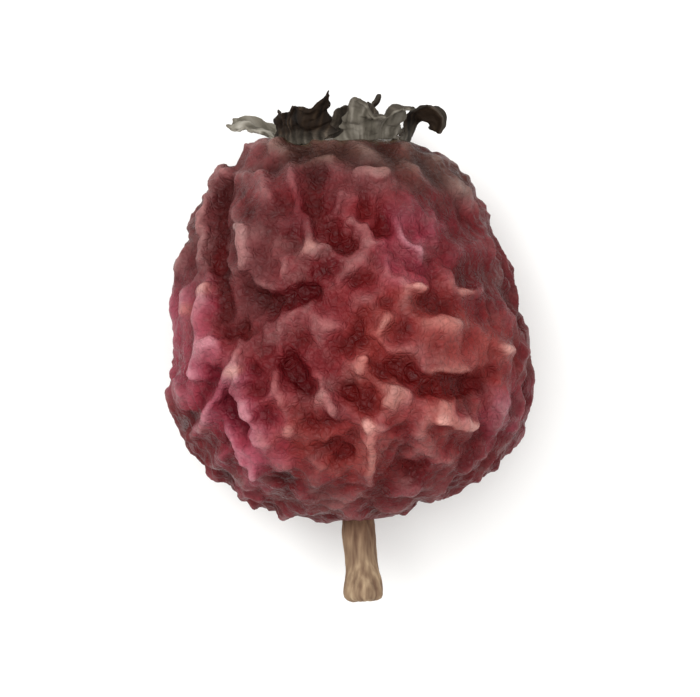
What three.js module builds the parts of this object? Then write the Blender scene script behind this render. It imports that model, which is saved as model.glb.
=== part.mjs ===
// A dried hawthorn berry (haw), lying on the side that it dried on.
//
// The fruit is a small barrel, widest towards its stem, whose skin has sunk into folds and pits. A short
// broken stem sits in a socket at one end. At the other end the dried flower is left: a low rim round a small
// cup, five curled sepals standing on the rim, and the stub of the style on the floor of the cup.
//
// Millimetres. +Z is up. The fruit's axis lies along Y, but for a small turn, with the sepals towards +Y.
// The origin is on the resting surface, below the middle of the whole berry.

import * as THREE from "three";
import { ImprovedNoise } from "three/addons/math/ImprovedNoise.js";

// ---- driving dimensions ----

const BODY_LENGTH = 8.35; // from the stem's end of the fruit to the shoulder below the sepals
const BODY_RADIUS = 4.1; // half the width, at the widest
const DEPTH_SHARE = 0.97; // the fruit's depth over its width
const REST_DEPTH = 3.6; // from the axis down to the flat that the fruit dried on
const TURN = 2.6; // of the axis from Y, in degrees, with the sepals towards -X

const SOCKET_RADIUS = 0.42;
const SOCKET_DEPTH = 0.55;
const STEM_LENGTH = 1.8; // outside the fruit
const STEM_RADIUS = 0.32; // where it leaves the fruit
const STEM_END_RADIUS = 0.41; // at the break

const RIM_RADIUS = 1.64; // outer edge of the rim that carries the sepals
const RIM_HEIGHT = 0.36; // of the rim's top above the shoulder
const CUP_RADIUS = 1.0;
const CUP_DEPTH = 1.0;
const STYLE_LENGTH = 0.8;
const STYLE_RADIUS = 0.26; // at its foot

const SEPAL_THICKNESS = 0.22;
const GAP = 0.04; // between pieces that touch

const AROUND = 72; // steps round the fruit

// ---- the fruit's outline, from the stem's socket to the middle of the cup ----

const at = (radius, height) => new THREE.Vector2(radius, height);
const LAND_INNER = at(RIM_RADIUS - 0.34, BODY_LENGTH + RIM_HEIGHT);
const LAND_OUTER = at(RIM_RADIUS, BODY_LENGTH + RIM_HEIGHT - 0.12);
const CUP_FLOOR = BODY_LENGTH + RIM_HEIGHT - CUP_DEPTH;

// The flank, as radius over BODY_RADIUS and height over BODY_LENGTH.
const FLANK = [
  [0.25, 0.012],
  [0.49, 0.05],
  [0.7, 0.11],
  [0.83, 0.17],
  [0.93, 0.235],
  [0.99, 0.31],
  [1.0, 0.39],
  [0.98, 0.5],
  [0.94, 0.6],
  [0.885, 0.7],
  [0.81, 0.79],
  [0.735, 0.875],
  [0.65, 0.94],
  [0.52, 0.99],
].map(([radius, height]) => at(radius * BODY_RADIUS, height * BODY_LENGTH));

const outline = new THREE.Path()
  .moveTo(0, SOCKET_DEPTH)
  .lineTo(SOCKET_RADIUS, SOCKET_DEPTH)
  .lineTo(SOCKET_RADIUS, 0.06)
  .lineTo(SOCKET_RADIUS + 0.12, 0)
  .splineThru(FLANK)
  .lineTo(LAND_OUTER.x, LAND_OUTER.y)
  .lineTo(LAND_INNER.x, LAND_INNER.y)
  .splineThru([
    at(CUP_RADIUS + 0.18, LAND_INNER.y - 0.01),
    at(CUP_RADIUS + 0.06, LAND_INNER.y - 0.14),
    at(CUP_RADIUS, LAND_INNER.y - 0.42),
    at(CUP_RADIUS - 0.14, CUP_FLOOR + 0.24),
    at(CUP_RADIUS - 0.42, CUP_FLOOR + 0.06),
  ])
  .lineTo(STYLE_RADIUS + 0.16, CUP_FLOOR)
  .lineTo(0, CUP_FLOOR);

// ---- the folds that the drying skin fell into ----

const noise = new ImprovedNoise();
const { degToRad, lerp, smoothstep } = THREE.MathUtils;

// A network of crests with hollows between them, about `size` mm across; the crests are near 1.
function crumple(p, size, stretch, seed) {
  return 1 - 3 * Math.abs(noise.noise(p.x / size + seed, p.y / (size * stretch) + seed, p.z / size - seed));
}

// Folds on the upper side, each from one point to another as [x, height above the stem's end].
// A positive rise is a crest, and a negative one a crease; a pit starts and ends at one point.
const FOLDS = [
  { from: [-2.6, 7.6], to: [-2.85, 6.0], width: 0.32, rise: -0.34 },
  { from: [-2.85, 6.0], to: [-2.55, 4.5], width: 0.32, rise: -0.3 },
  { from: [-2.3, 8.0], to: [-2.1, 5.9], width: 0.3, rise: 0.16 },
  { from: [-2.8, 4.3], to: [-3.5, 2.7], width: 0.26, rise: 0.2 },
  { from: [-2.75, 4.2], to: [-2.0, 1.7], width: 0.26, rise: 0.2 },
  { from: [-3.0, 3.0], to: [-2.7, 2.4], width: 0.4, rise: -0.22 },
  { from: [-1.3, 3.7], to: [-1.0, 3.3], width: 0.45, rise: -0.36 },
  { from: [-1.9, 5.2], to: [0.3, 5.4], width: 0.4, rise: -0.18 },
  { from: [-0.3, 6.3], to: [-0.1, 6.5], width: 0.34, rise: -0.24 },
  { from: [0.3, 7.1], to: [1.0, 6.9], width: 0.32, rise: -0.2 },
  { from: [0.0, 4.4], to: [0.7, 4.0], width: 0.28, rise: -0.18 },
  { from: [0.9, 3.6], to: [1.1, 3.5], width: 0.34, rise: -0.24 },
  { from: [1.5, 3.2], to: [2.9, 3.0], width: 0.3, rise: -0.3 },
  { from: [0.05, 3.1], to: [0.2, 2.9], width: 0.3, rise: -0.22 },
  { from: [-0.4, 1.9], to: [-0.35, 1.7], width: 0.34, rise: -0.26 },
  { from: [1.3, 1.5], to: [1.5, 1.4], width: 0.32, rise: -0.22 },
  { from: [1.9, 4.3], to: [2.4, 3.9], width: 0.6, rise: 0.2 },
  { from: [3.0, 3.7], to: [3.6, 4.1], width: 0.3, rise: 0.22 },
  { from: [1.9, 2.5], to: [2.2, 2.3], width: 0.32, rise: 0.2 },
];

function foldsAt(p) {
  const here = new THREE.Vector3(p.x, p.y, 0);
  const nearest = new THREE.Vector3();
  let rise = 0;
  for (const fold of FOLDS) {
    const line = new THREE.Line3(new THREE.Vector3(...fold.from, 0), new THREE.Vector3(...fold.to, 0));
    line.closestPointToPoint(here, true, nearest);
    rise += fold.rise * Math.exp(-((here.distanceTo(nearest) / fold.width) ** 2));
  }
  return rise * smoothstep(p.z, 0.3, 1.6);
}

// Broad bulges and hollows. Azimuths go round the fruit's axis from +X through +Z.
const BULGES = [
  { azimuth: 172, height: 6.6, width: 1.9, rise: 0.42 },
  { azimuth: 8, height: 6.0, width: 1.8, rise: 0.12 },
  { azimuth: 300, height: 4.5, width: 2.2, rise: -0.2 },
  { azimuth: 215, height: 3.0, width: 1.8, rise: -0.15 },
  { azimuth: 100, height: 4.6, width: 1.5, rise: -0.16 },
];

function bulgesAt(p) {
  const azimuth = THREE.MathUtils.radToDeg(Math.atan2(p.z, p.x));
  return BULGES.reduce((sum, bulge) => {
    const turn = THREE.MathUtils.euclideanModulo(azimuth - bulge.azimuth + 180, 360) - 180;
    const distance = Math.hypot(degToRad(turn) * BODY_RADIUS, p.y - bulge.height);
    return sum + bulge.rise * Math.exp(-((distance / bulge.width) ** 2));
  }, 0);
}

// How far the skin stands out from the plain outline at a point of it.
function skinRise(p) {
  const lumps = 0.2 * noise.noise(p.x / 3.4 + 7.3, p.y / 4.2, p.z / 3.4 + 2.1);
  const creases = 0.13 * crumple(p, 1.5, 1.5, 11.4);
  return lumps + creases - 0.03 + bulgesAt(p) + foldsAt(p);
}

function fruit() {
  const points = outline.getPoints(2);
  const geometry = new THREE.LatheGeometry(points, AROUND);
  const { position, normal } = geometry.attributes;
  const p = new THREE.Vector3();
  const out = new THREE.Vector3();
  for (let i = 0; i < position.count; i++) {
    p.fromBufferAttribute(position, i);
    out.fromBufferAttribute(normal, i);
    const radius = Math.hypot(p.x, p.z);
    const lowerEnd = smoothstep(radius, SOCKET_RADIUS + 0.2, 1.5);
    const inCup = p.y > BODY_LENGTH / 2 && radius < RIM_RADIUS;
    const share = inCup ? 0 : Math.max(lowerEnd, smoothstep(p.y, 0.6, 2)) * (1 - smoothstep(p.y, 8.0, BODY_LENGTH));
    p.z *= lerp(1, DEPTH_SHARE, share);
    p.addScaledVector(out, share * skinRise(p));
    p.z = Math.max(p.z, -REST_DEPTH);
    position.setXYZ(i, p.x, p.y, p.z);
  }
  return geometry;
}

// ---- skins through rings of points, for the thin pieces ----

// A closed skin through rings of points; a fan to each end ring's middle closes it.
function loft(rings) {
  const around = rings[0].length;
  const points = rings.flat();
  const faces = [];
  for (let i = 0; i + 1 < rings.length; i++)
    for (let j = 0; j < around; j++) {
      const a = i * around + j;
      const b = i * around + ((j + 1) % around);
      faces.push(a, b, a + around, b, b + around, a + around);
    }
  const middle = (ring) => ring.reduce((sum, p) => sum.add(p), new THREE.Vector3()).divideScalar(around);
  const first = points.push(middle(rings[0])) - 1;
  const last = points.push(middle(rings.at(-1))) - 1;
  const start = (rings.length - 1) * around;
  for (let j = 0; j < around; j++) {
    const next = (j + 1) % around;
    faces.push(first, next, j, last, start + j, start + next);
  }
  const geometry = new THREE.BufferGeometry().setFromPoints(points);
  geometry.setIndex(faces);
  geometry.computeVertexNormals();
  return geometry;
}

// A round rod along Y: stations are [height, radius, x, z].
function rod(stations, around, ribs) {
  return loft(
    stations.map(([height, radius, x, z]) =>
      Array.from({ length: around }, (_, j) => {
        const turn = (-2 * Math.PI * j) / around;
        const r = radius * (1 + ribs * Math.cos(5 * turn + height));
        return new THREE.Vector3(x + r * Math.cos(turn), height, z + r * Math.sin(turn));
      }),
    ),
  );
}

// The stem, from its foot in the socket down to the break, where it widens a little.
function stem() {
  const foot = SOCKET_DEPTH - GAP;
  const stations = [];
  for (const share of [1, 0.93, 0.8, 0.65, 0.5, 0.35, 0.2, 0.08, 0]) {
    const radius = lerp(STEM_RADIUS, STEM_END_RADIUS, share ** 1.5) + 0.03 * Math.sin(9 * share);
    stations.push([-STEM_LENGTH * share, radius, 0.07 * share, 0.3 * share ** 2]);
  }
  stations[0][1] *= 0.82;
  stations.push([foot, STEM_RADIUS, 0, 0]);
  return rod(stations, 16, 0.07);
}

// The stub of the style, with the dried stigma as a knob on top; stations are shares of its length, of its
// radius at the foot, and how far it leans.
function style() {
  const foot = CUP_FLOOR + GAP;
  const shape = [
    [0, 1.0, 0],
    [0.12, 0.92, 0],
    [0.35, 0.6, 0.02],
    [0.6, 0.5, 0.06],
    [0.78, 0.62, 0.1],
    [0.9, 0.78, 0.13],
    [0.97, 0.66, 0.14],
    [1, 0.4, 0.14],
  ];
  return rod(
    shape.map(([share, wide, lean]) => [foot + share * STYLE_LENGTH, wide * STYLE_RADIUS, -lean, lean]),
    14,
    0.06,
  );
}

// One sepal, where +X points away from the fruit's axis. It leaves the rim's land at right angles and bends
// over outwards by `bend` degrees in all; an `ease` over 1 keeps the bend for the tip, and one under 1 makes
// it near the foot. `roll` lifts its two edges, and `twist` swings its tip round the axis, in degrees.
const SEPAL_STEPS = 11;
const SEPAL_AROUND = 16;

function sepal({ length, width, bend, ease, roll, twist, tip }) {
  const leaving = Math.atan2(LAND_OUTER.x - LAND_INNER.x, LAND_INNER.y - LAND_OUTER.y);
  const foot = LAND_OUTER.clone().lerp(LAND_INNER, 0.5);
  const step = length / (SEPAL_STEPS - 1);
  let radius = foot.x + GAP * Math.cos(leaving);
  let height = foot.y + GAP * Math.sin(leaving);
  const rings = [];
  for (let i = 0; i < SEPAL_STEPS; i++) {
    const share = i / (SEPAL_STEPS - 1);
    const angle = leaving - degToRad(bend) * share ** ease;
    if (i) {
      radius += step * Math.cos(angle);
      height += step * Math.sin(angle);
    }
    const half = (width / 2) * lerp(1, tip, share ** 1.3);
    const thick = (SEPAL_THICKNESS / 2) * lerp(1, 0.55, share);
    rings.push(
      Array.from({ length: SEPAL_AROUND }, (_, j) => {
        const turn = (-2 * Math.PI * j) / SEPAL_AROUND;
        const across = half * Math.cos(turn);
        const lift = thick * Math.sin(turn) + roll * share * (across / (width / 2)) ** 2;
        const r = radius - lift * Math.sin(angle);
        const swing = across / RIM_RADIUS + degToRad(twist) * share ** 2;
        return new THREE.Vector3(r * Math.cos(swing), height + lift * Math.cos(angle), r * Math.sin(swing));
      }),
    );
  }
  return loft(rings);
}

// Azimuths go round the fruit's axis from +X through +Z, and put one sepal every 72 degrees.
const SEPALS = [
  { azimuth: -12, length: 1.6, width: 1.5, bend: 168, ease: 2, roll: 0.15, twist: 6, tip: 0.35 },
  { azimuth: 60, length: 1.05, width: 1.8, bend: 85, ease: 1.6, roll: 0.1, twist: -4, tip: 0.35 },
  { azimuth: 132, length: 1.1, width: 1.8, bend: 15, ease: 1.5, roll: 0.3, twist: -12, tip: 0.35 },
  { azimuth: 204, length: 1.3, width: 1.6, bend: 80, ease: 0.5, roll: 0.2, twist: -6, tip: 0.14 },
  { azimuth: 276, length: 1.0, width: 1.7, bend: 30, ease: 1, roll: 0.25, twist: 8, tip: 0.3 },
];

// ---- materials ----

const skin = new THREE.MeshStandardMaterial({ color: "#7a2f33", roughness: 0.5, metalness: 0 });
const bark = new THREE.MeshStandardMaterial({ color: "#a08a6a", roughness: 0.85, metalness: 0 });
const dryLeaf = new THREE.MeshStandardMaterial({ color: "#4c4638", roughness: 0.9, metalness: 0 });
const driedStyle = new THREE.MeshStandardMaterial({ color: "#8a7c66", roughness: 0.85, metalness: 0 });

// ---- the berry ----

function piece(name, geometry, material) {
  const mesh = new THREE.Mesh(geometry, material);
  mesh.name = name;
  return mesh;
}

const berry = new THREE.Group();
berry.add(piece("fruit", fruit(), skin));
berry.add(piece("stem", stem(), bark));
berry.add(piece("style_stub", style(), driedStyle));
SEPALS.forEach(({ azimuth, ...shape }, i) => {
  const mesh = piece(`sepal_${i + 1}`, sepal(shape), dryLeaf);
  mesh.rotation.y = -degToRad(azimuth);
  berry.add(mesh);
});

// The whole berry is set down with its flat on z = 0 and the middle of its plan at the origin.
berry.rotation.z = degToRad(TURN);
const bounds = new THREE.Box3().setFromObject(berry, true);
const middle = bounds.getCenter(new THREE.Vector3());
berry.position.set(-middle.x, -middle.y, -bounds.min.z);

const part = new THREE.Group();
part.add(berry);

export default part;
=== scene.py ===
# A dried hawthorn berry on white, seen from above.
#
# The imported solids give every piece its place, and the fruit, the stem and the style their main shape. Here
# the fruit's skin gets the folds that drying raised on it, the sepals are made as thin curled leaf, and the
# stem and the style get their fibres. A piece is made in millimetres, and its tree ends by scaling it to
# metres.

import math

import bmesh
import bpy
from mathutils import Matrix, Vector, noise


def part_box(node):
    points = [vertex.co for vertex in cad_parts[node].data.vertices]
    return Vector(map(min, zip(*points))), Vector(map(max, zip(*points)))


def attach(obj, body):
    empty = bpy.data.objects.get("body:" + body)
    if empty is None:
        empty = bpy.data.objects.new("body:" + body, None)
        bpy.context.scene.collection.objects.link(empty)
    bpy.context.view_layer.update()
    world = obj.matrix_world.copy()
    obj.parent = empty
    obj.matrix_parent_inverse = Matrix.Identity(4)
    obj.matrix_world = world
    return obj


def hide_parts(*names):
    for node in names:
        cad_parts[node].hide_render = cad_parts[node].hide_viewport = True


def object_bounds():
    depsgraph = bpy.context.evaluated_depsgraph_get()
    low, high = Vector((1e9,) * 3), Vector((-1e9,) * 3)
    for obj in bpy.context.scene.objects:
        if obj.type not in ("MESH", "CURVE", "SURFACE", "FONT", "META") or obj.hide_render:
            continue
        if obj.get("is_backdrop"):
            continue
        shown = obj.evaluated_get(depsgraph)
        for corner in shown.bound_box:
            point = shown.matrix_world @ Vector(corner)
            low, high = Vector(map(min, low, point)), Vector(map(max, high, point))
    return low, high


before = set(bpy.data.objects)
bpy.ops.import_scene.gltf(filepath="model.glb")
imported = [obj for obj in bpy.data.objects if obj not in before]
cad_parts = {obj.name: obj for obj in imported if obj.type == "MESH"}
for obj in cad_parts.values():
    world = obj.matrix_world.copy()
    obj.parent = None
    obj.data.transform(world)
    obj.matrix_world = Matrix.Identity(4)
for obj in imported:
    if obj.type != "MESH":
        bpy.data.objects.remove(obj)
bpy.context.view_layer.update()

MM = 0.001

# ---- the skin's relief ----

# Sizes in millimetres.
SKIN_STEP = 0.062  # between the points of the fruit's mesh
FOLD_SPACING = 1.05  # of the broad folds of the skin
FOLD_HEIGHT = 0.2  # from foot to crest
WRINKLE_SPACING = 0.42  # of the wrinkles on them
WRINKLE_HEIGHT = 0.09
CREPE_SPACING = 0.2  # of the finest wrinkles
CREPE_HEIGHT = 0.022
CREST_HEIGHT = 0.05  # added along the main crests
HOLLOW_DEPTH = 0.04  # taken off in the main hollows
SHOULDER_HEIGHT = 0.28  # added where the shoulder is full
SOCKET_REACH = (0.55, 0.95)  # from the stem's foot: no relief within the first, and all of it past the second
RIM_REACH = (1.4, 1.95)  # from the middle of the cup's mouth: RIM_SHARE within the first, all past the second
CUP_REACH = 1.7  # from the middle of the cup's mouth to where the skin outside begins
OUTSIDE_CUP = 9.0  # added to a distance to put it outside the cup
GROUND = (-99.0, -99.0, 0.0)  # the lowest place that a point may have, far to the side in plan

# How the folds and the wrinkles grow: stretched along the berry, each from its own seed, up to how much of
# the skin they fill, and how sharply and in how many rounds they part from the skin between them.
FOLD_GROWTH = dict(Stretch=(1.0, 0.75, 1.0), Seed=3.0, Fullness=0.46, Gain=3.6, Rounds=5)
WRINKLE_GROWTH = dict(Stretch=(1.0, 0.7, 1.0), Seed=8.0, Fullness=0.44, Gain=5.0, Rounds=5)
CREST_POWER = 1.5  # over 1, it makes crests narrower than the hollows between them
OWN_LEVEL = 0.4  # how far up a fold the skin's own level is
HOLLOW_PULL = 0.5  # how strongly a hollow keeps folds away, against the 1 with which a crest draws them
CALM_SHARE = 0.3  # of the wrinkles that is left where the skin is calm
RIM_SHARE = 0.6  # of the relief that is left on the rim and in the cup
STEEP = (0.62, 0.1)  # how far the skin faces upwards, from 0 to 1, where the painted shade of a flank begins and where it is full

# Blur steps over the fruit's mesh, each of which evens a value out between neighbouring points.
EASING_BLUR = 10  # smooths the solid's facets away
SLOPE_BLUR = 60  # gives the way that the skin faces without its folds
BESIDE_BLUR = 8  # gives the place of the skin close by
AROUND_BLUR = 100  # gives the place of the skin farther round: the relief is the gap between these two

# ---- marks on the upper side ----
#
# Each run is given by the points that it goes through: across the berry and along it towards the sepals, in
# millimetres from the middle of the plan. A run of one point is a spot.

CRESTS = [
    [(-2.8, 4.1), (-3.3, 3.1), (-3.3, 2.0)],
    [(-2.4, 2.7), (-2.4, 1.8)],
    [(-1.9, 3.8), (-1.7, 3.3)],
    [(-1.3, 3.8), (-1.15, 3.1)],
    [(-0.95, 2.9), (-0.9, 2.1), (-0.45, 2.2)],
    [(-0.4, 3.0), (-0.2, 3.5), (0.1, 3.4)],
    [(-2.0, 1.5), (-1.6, 1.3)],
    [(-3.3, 1.3), (-3.4, 0.3), (-3.4, -0.7)],
    [(-3.4, -1.9), (-3.2, -1.5), (-2.9, -0.9), (-2.6, -0.4), (-2.5, -1.0), (-2.2, -1.5)],
    [(-2.7, -1.8), (-2.4, -2.4), (-2.1, -2.8)],
    [(-0.65, -0.6), (-0.6, -1.1), (-0.4, -1.3)],
    [(-1.35, -1.75)],
    [(0.2, 3.9), (0.8, 3.9)],
    [(1.0, 2.8), (1.2, 2.3), (1.5, 2.1)],
    [(2.05, 1.7), (2.3, 1.25), (2.8, 1.2)],
    [(1.45, 1.35)],
    [(0.8, 0.75), (0.6, 0.3), (0.9, 0.0), (1.4, 0.0)],
    [(1.6, -0.4), (2.5, -0.4)],
    [(3.4, 0.0)],
    [(0.9, -0.9), (0.8, -1.2)],
    [(0.4, -1.6), (0.45, -2.1), (0.45, -2.9)],
    [(0.75, -1.75)],
    [(2.0, -1.6), (2.7, -1.7)],
    [(0.9, -3.2), (1.5, -3.1)],
    [(-1.5, -3.75)],
]
HOLLOWS = [
    [(-2.8, 3.6)],
    [(-2.85, 3.2), (-2.9, 2.2), (-2.85, 1.2), (-2.7, 0.2)],
    [(-2.35, 3.3), (-2.4, 3.0)],
    [(-1.5, 3.3)],
    [(-0.8, 3.9), (-0.85, 3.1)],
    [(-0.5, 1.8)],
    [(-0.1, 2.3)],
    [(-1.8, 1.1), (-1.4, 1.1), (-0.85, 1.35)],
    [(-2.55, 0.4)],
    [(-1.15, 0.25)],
    [(-0.3, 0.1)],
    [(-3.1, -0.6), (-3.2, -1.0), (-3.5, -1.5)],
    [(-2.7, -1.25)],
    [(-2.9, -2.1)],
    [(-2.8, -2.75)],
    [(-1.3, -0.3), (-1.1, -0.7)],
    [(-2.1, -0.5), (-2.0, -0.9)],
    [(-1.9, -1.5)],
    [(-1.1, -1.6), (-0.6, -1.65)],
    [(-0.7, -2.2), (-0.1, -2.2)],
    [(-1.45, -3.0)],
    [(0.2, 3.2)],
    [(0.7, 2.7)],
    [(0.6, 2.0)],
    [(0.2, 1.6)],
    [(0.7, 1.0)],
    [(1.1, 0.45)],
    [(1.7, 1.05), (2.1, 1.0)],
    [(0.4, 0.7), (0.0, 0.0)],
    [(0.7, -0.5), (1.3, -0.5)],
    [(0.1, -1.0), (0.5, -1.3)],
    [(1.0, -1.75)],
    [(1.8, -0.85), (2.7, -0.85), (2.6, -1.25)],
    [(1.3, -2.65)],
]
# Where the skin stayed nearly smooth, and where the shoulder beside the sepals is fuller.
CALM = [
    [(0.3, 4.5), (1.4, 4.3), (2.2, 3.6), (1.3, 3.4)],
    [(2.5, 2.2), (2.7, 1.7)],
    [(-3.5, 0.2)],
    [(1.9, 0.3), (2.3, 0.1)],
]
FULL = [[(-2.2, 4.4), (-1.7, 4.7)]]
# Where its colour is not the common maroon: tones of its own, painted light and painted shade.
# Rosier patches, a little lighter: the long one down the left side, where the lamp falls, is painted light.
ROSY_AND_LIT = [
    [(-3.8, 1.2), (-3.6, -0.4), (-2.9, -1.0), (-2.5, -1.7), (-2.2, -2.6)],
    [(3.5, -1.5)],
    [(1.9, 3.0), (1.4, 2.2)],
]
BRICK = [
    [(1.5, 1.3), (2.2, 0.3), (2.2, -1.6)],
    [(-1.2, -2.2), (0.3, -2.5)],
    [(0.6, 0.4), (0.6, -1.0)],
    [(3.1, 0.1), (3.1, -0.7)],
]
# Painted shade: darker patches along the edges of the upper side, at the upper right, the right, the bottom
# and the lower left, and over a crease at the upper left.
PAINTED_SHADE_PATCHES = [
    [(-0.9, 3.7), (-1.2, 2.8)],
    [(1.4, 3.9), (2.3, 3.0), (2.6, 2.1), (3.5, 1.2)],
    [(0.9, -3.3), (2.2, -3.0), (3.2, -2.5)],
    [(-3.8, -2.6), (-2.9, -3.4)],
    [(-1.4, -3.2), (-0.7, -3.3)],
    [(4.3, 0.8), (4.3, -1.2), (3.6, -2.7)],
]
WINE = [
    [(-0.5, 1.8), (-1.1, 1.3)],
    [(-1.7, -0.4), (-1.1, -0.5)],
]
OLIVE = [[(-1.2, 4.6), (0.5, 4.5), (1.6, 4.2), (2.4, 3.8)]]
ASHY = [
    [(-1.6, 4.4), (-2.6, 4.0), (-3.3, 3.1), (-3.7, 1.9)],
    [(-2.2, 3.2), (-2.1, 2.2), (-2.2, 0.9)],
    [(-1.0, 4.4), (0.4, 4.2)],
]
# Painted highlights: small pale spots where glints lie on the skin.
PAINTED_GLINTS = [
    [(1.45, 1.35)], [(2.0, -1.6)], [(2.65, -1.7)], [(3.45, 0.0)], [(-3.35, 1.35)],
    [(-3.7, 0.85)], [(0.35, -1.7)], [(-0.95, 2.2)], [(-2.6, -0.5)], [(2.5, 1.25)],
]

# Each mark's runs, how far it reaches from them, and how far they waver. Some marks only colour the skin, and
# of these the darker patches are painted shade, the pale spots painted highlights, and the rosy band down the
# left side painted light.
MARKS = {
    "crest": (CRESTS, 0.26, 0.35),
    "hollow": (HOLLOWS, 0.42, 0.45),
    "calm": (CALM, 0.95, 0.9),
    "rosy": (ROSY_AND_LIT, 1.3, 1.2),
    "brick": (BRICK, 1.4, 1.5),
    "dusky": (PAINTED_SHADE_PATCHES, 1.2, 1.5),
    "wine": (WINE, 1.0, 1.0),
    "olive": (OLIVE, 0.95, 0.8),
    "ashy": (ASHY, 1.2, 0.9),
    "full": (FULL, 0.6, 0.2),
    "pale": (PAINTED_GLINTS, 0.22, 0.3),
}
FADE_ABOVE = 0.2  # over the middle of the berry, where a mark starts to fade downwards
FADE_BELOW = 1.4  # under it, where the mark is gone
SPOT_LENGTH = 0.1  # of the line that a spot is made of

# ---- the skin's colours ----

# A tint has four colours, from the deepest skin to the highest, at these shares of the relief's range: the
# darker low ones are painted shade in the hollows, and the lighter high ones painted light on the crests.
TINT_LEVELS = (0.05, 0.36, 0.64, 0.95)
RELIEF_RANGE = (-0.105, 0.155)  # in millimetres
HOLLOW_SHADE = 0.17  # painted shade: how much deeper than it lies a main hollow is coloured, as a share of that range
MAROON = ("#54090b", "#702125", "#803a3d", "#995c5b")
# What lies over the maroon, in this order: a mark or the flanks, whose tint is painted shade, how strong it
# is there, and its colours.
TINTS = [
    ("brick", 0.7, ("#540b09", "#74241e", "#893d36", "#ab695e")),
    # The flanks: painted shade, darker where the skin faces sideways.
    ("flank", 0.75, ("#340506", "#4b0f10", "#5e2123", "#7c4446")),
    # Rosy: partly painted light, down the left side.
    ("rosy", 0.85, ("#5a0e1c", "#812a39", "#954756", "#b87682")),
    # Painted shade, in dark patches.
    ("dusky", 0.9, ("#420506", "#520d11", "#5d191e", "#743136")),
    ("wine", 0.85, ("#440307", "#590b11", "#66181d", "#84383b")),
    ("ashy", 0.75, ("#36100f", "#4e2424", "#653838", "#8c605e")),
    ("olive", 0.85, ("#1c0e09", "#331f18", "#4b3229", "#7c6357")),
    # Pale: painted highlights.
    ("pale", 0.62, ("#6c211f", "#8e413c", "#b56c63", "#dba095")),
]
# Sizes in its pattern, in millimetres.
BLOTCH_SIZE = 0.9
FLECK_SIZE = 0.11
BLOOM_SIZE = 1.4
CRACKLE_SIZE = 0.15
CRACKLE_DEPTH = 0.025
# Where the rim's brown begins and is full, from the middle of the cup's mouth, and the same for the cup's
# dark brown, from the axis. Their ragged edges add about 0.5 and 0.25 to the distance.
RIM_EDGE = (2.22, 1.9)
CUP_EDGE = (1.4, 1.05)

# ---- sepals ----

SEPALS = [f"sepal_{i}" for i in range(1, 6)]
TURN = 2.6  # of the fruit's axis from Y, in degrees, with the sepals towards -X
SEPAL_RADIUS = 1.47  # from the fruit's axis to the middle of a sepal's foot
SEPAL_SUNK = 0.08  # how deep a sepal's foot stands in the rim
SEPAL_THICKNESS = 0.09
SEPAL_SHAPES = [
    dict(
        azimuth=-2, leaves=66, length=1.1, width=1.3, bend=190, ease=3.0,
        roll=0.3, twist=6, tip=0.35, slant=0.0, dust=(0.4, -0.3, 0.1),
    ),
    dict(
        azimuth=60, leaves=78, length=0.93, width=1.75, bend=85, ease=1.6,
        roll=0.2, twist=-2, tip=0.6, slant=0.05, dust=(0.5, 0.75, 0.2),
    ),
    dict(
        azimuth=132, leaves=78, length=0.86, width=1.85, bend=40, ease=1.5,
        roll=0.35, twist=-10, tip=0.7, slant=0.18, dust=(0.3, -0.4, 0.1),
    ),
    dict(
        azimuth=204, leaves=78, length=1.25, width=1.5, bend=80, ease=0.5,
        roll=0.15, twist=-6, tip=0.1, slant=0.0, dust=(0.9, 1.3, 0.8),
    ),
    dict(
        azimuth=276, leaves=78, length=1.0, width=1.6, bend=60, ease=1.0,
        roll=0.4, twist=8, tip=0.3, slant=-0.2, dust=(0.6, 0.2, 0.1),
    ),
]

# ---- light and camera, in metres and watts ----

# Each lamp's name, place, size across and power.
LAMPS = [
    ("overhead", (0, 0.04, 0.36), 0.3, 0.88),
    ("key", (-0.16, 0.13, 0.3), 0.16, 0.4),
]
TENT_BRIGHTNESS = 0.78
GROUND_SIZE = 1.2
LENS_LENGTH = 300  # in millimetres: so long that the berry's outline stays true
SEEN_WIDTH = 0.0155
NEAREST_SEEN = 0.01


# ---- helpers ----


def middle(node):
    """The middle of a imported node's box, in millimetres."""
    low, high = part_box(node)
    return (Vector(low) + Vector(high)) / 2 / MM


def crown_middle():
    """The middle of the ring of sepals, as far along the berry as their feet, in millimetres."""
    middles = [middle(node) for node in SEPALS]
    feet = [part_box(node)[0].y / MM for node in SEPALS]
    x, z = (sum(point[axis] for point in middles) / len(middles) for axis in (0, 2))
    return Vector((x, sum(feet) / len(feet), z))


def linear(hex_colour):
    """An sRGB hex colour as a linear one."""
    shares = [int(hex_colour[i : i + 2], 16) / 255 for i in (1, 3, 5)]
    return (*[s / 12.92 if s <= 0.04045 else ((s + 0.055) / 1.055) ** 2.4 for s in shares], 1)


def add(tree, kind, inputs=None, stops=(), **settings):
    """Adds a node with its settings. An input is a value, a socket, or a node, which gives its first output.

    `stops` are the places and hex colours of a colour ramp.
    """
    node = tree.nodes.new(kind)
    for name, value in settings.items():
        setattr(node, name, value)
    for name, value in (inputs or {}).items():
        if isinstance(value, bpy.types.Node):
            value = next(out for out in value.outputs if out.enabled)
        if isinstance(value, bpy.types.NodeSocket):
            tree.links.new(value, node.inputs[name])
        else:
            node.inputs[name].default_value = value
    if stops:
        elements = node.color_ramp.elements
        while len(elements) < len(stops):
            elements.new(0.5)
        for element, (position, colour) in zip(elements, stops):
            element.position = position
            element.color = linear(colour)
    return node


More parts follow.
